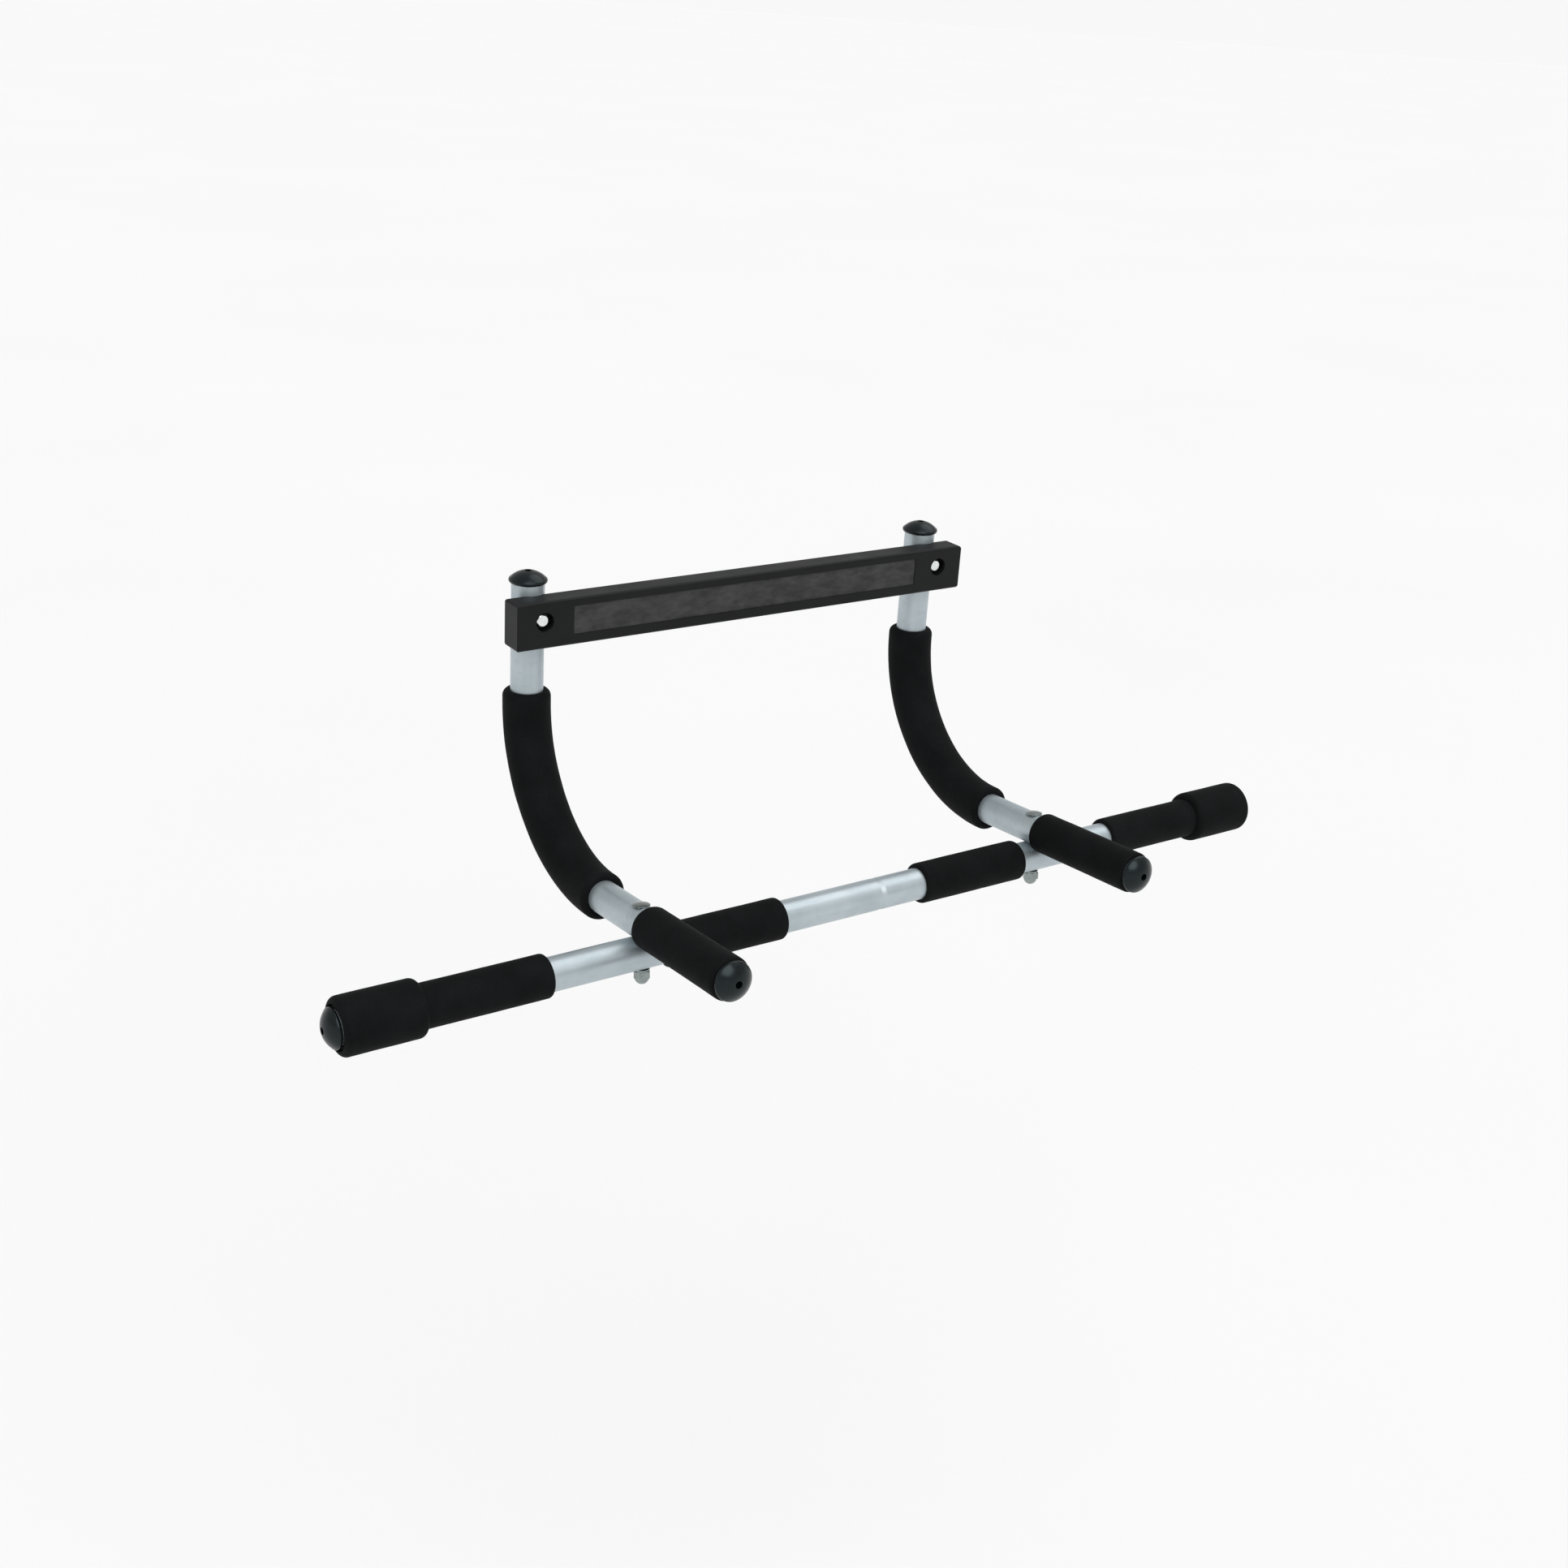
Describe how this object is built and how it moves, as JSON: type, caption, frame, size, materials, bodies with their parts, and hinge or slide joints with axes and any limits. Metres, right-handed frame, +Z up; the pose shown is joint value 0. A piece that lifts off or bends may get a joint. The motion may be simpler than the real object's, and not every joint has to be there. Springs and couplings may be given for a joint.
{
  "type": "pull up bar",
  "caption": "Doorway pull up bar: a straight bar with foam grips and casing pads, two J-shaped arms with front handles, and a trim bar that rests on the door casing.",
  "frame": {"origin": "the middle of the trim bar's underside, which rests on top of the door casing", "axes": "+X along the main bar, -Y towards the handles, +Z up as the bar hangs in a doorway"},
  "size_m": [0.9496, 0.3683, 0.2882],
  "materials": {
    "painted_tube": "silver-grey enamel, satin",
    "black_foam": "matte closed-cell foam with fine pores",
    "trim_plastic": "semi-gloss moulded plastic, fine spark-eroded grain",
    "strip_rubber": "cloudy dark grey rubber",
    "end_cap_plastic": "glossy dark grey plastic",
    "core_steel": "plain rolled steel",
    "bright_zinc": "bright zinc plating"
  },
  "bodies": {
    "frame": {"bar_half_left": "painted_tube", "bar_half_right": "painted_tube", "bar_end_cap_left": "end_cap_plastic", "bar_end_cap_right": "end_cap_plastic", "arm_left": "painted_tube", "arm_right": "painted_tube", "arm_top_cap_left": "end_cap_plastic", "arm_top_cap_right": "end_cap_plastic", "handle_cap_left": "end_cap_plastic", "handle_cap_right": "end_cap_plastic", "handle_grip_left": "black_foam", "handle_grip_right": "black_foam", "inner_grip_left": "black_foam", "inner_grip_right": "black_foam", "outer_grip_left": "black_foam", "outer_grip_right": "black_foam", "casing_pad_left": "black_foam", "casing_pad_right": "black_foam", "arm_foam_left": "black_foam", "arm_foam_right": "black_foam", "trim_bar_moulding": "trim_plastic", "trim_bar_core": "core_steel", "trim_wall_strip": "strip_rubber", "crossing_bolt_left": "bright_zinc", "crossing_bolt_right": "bright_zinc", "trim_bolt_left": "bright_zinc", "trim_bolt_right": "bright_zinc"},
    "crossing_washer_carriage_left": {"crossing_lock_washer_left": "bright_zinc"},
    "crossing_nut_left": {"crossing_cap_nut_left": "bright_zinc"},
    "trim_washer_carriage_left": {"trim_arc_washer_left": "bright_zinc"},
    "trim_nut_left": {"trim_cap_nut_left": "bright_zinc"},
    "crossing_washer_carriage_right": {"crossing_lock_washer_right": "bright_zinc"},
    "crossing_nut_right": {"crossing_cap_nut_right": "bright_zinc"},
    "trim_washer_carriage_right": {"trim_arc_washer_right": "bright_zinc"},
    "trim_nut_right": {"trim_cap_nut_right": "bright_zinc"}
  },
  "joints": [
    {"name": "crossing_nut_travel_left", "type": "slide", "parent": "frame", "child": "crossing_washer_carriage_left", "axis": [0, -0.0802, -0.9968], "range_m": [0, 0.00906]},
    {"name": "crossing_nut_turn_left", "type": "hinge", "parent": "crossing_washer_carriage_left", "child": "crossing_nut_left", "pos_m": [-0.2054, -0.1825, -0.2015], "axis": [0, -0.0802, -0.9968], "range_deg": [0, 2610]},
    {"name": "trim_nut_travel_left", "type": "slide", "parent": "frame", "child": "trim_washer_carriage_left", "axis": [0, 1, 0], "range_m": [0, 0.00625]},
    {"name": "trim_nut_turn_left", "type": "hinge", "parent": "trim_washer_carriage_left", "child": "trim_nut_left", "pos_m": [-0.2054, 0, 0.0232], "axis": [0, 1, 0], "range_deg": [0, 2250]},
    {"name": "crossing_nut_travel_right", "type": "slide", "parent": "frame", "child": "crossing_washer_carriage_right", "axis": [0, -0.0802, -0.9968], "range_m": [0, 0.00906]},
    {"name": "crossing_nut_turn_right", "type": "hinge", "parent": "crossing_washer_carriage_right", "child": "crossing_nut_right", "pos_m": [0.2054, -0.1825, -0.2015], "axis": [0, -0.0802, -0.9968], "range_deg": [0, 2610]},
    {"name": "trim_nut_travel_right", "type": "slide", "parent": "frame", "child": "trim_washer_carriage_right", "axis": [0, 1, 0], "range_m": [0, 0.00625]},
    {"name": "trim_nut_turn_right", "type": "hinge", "parent": "trim_washer_carriage_right", "child": "trim_nut_right", "pos_m": [0.2054, 0, 0.0232], "axis": [0, 1, 0], "range_deg": [0, 2250]}
  ],
  "couplings": [
    {"joint": "crossing_nut_turn_left", "follows": "crossing_nut_travel_left", "rad_per_m": 5026.5},
    {"joint": "trim_nut_turn_left", "follows": "trim_nut_travel_left", "rad_per_m": 6283.2},
    {"joint": "crossing_nut_turn_right", "follows": "crossing_nut_travel_right", "rad_per_m": 5026.5},
    {"joint": "trim_nut_turn_right", "follows": "trim_nut_travel_right", "rad_per_m": 6283.2}
  ]
}
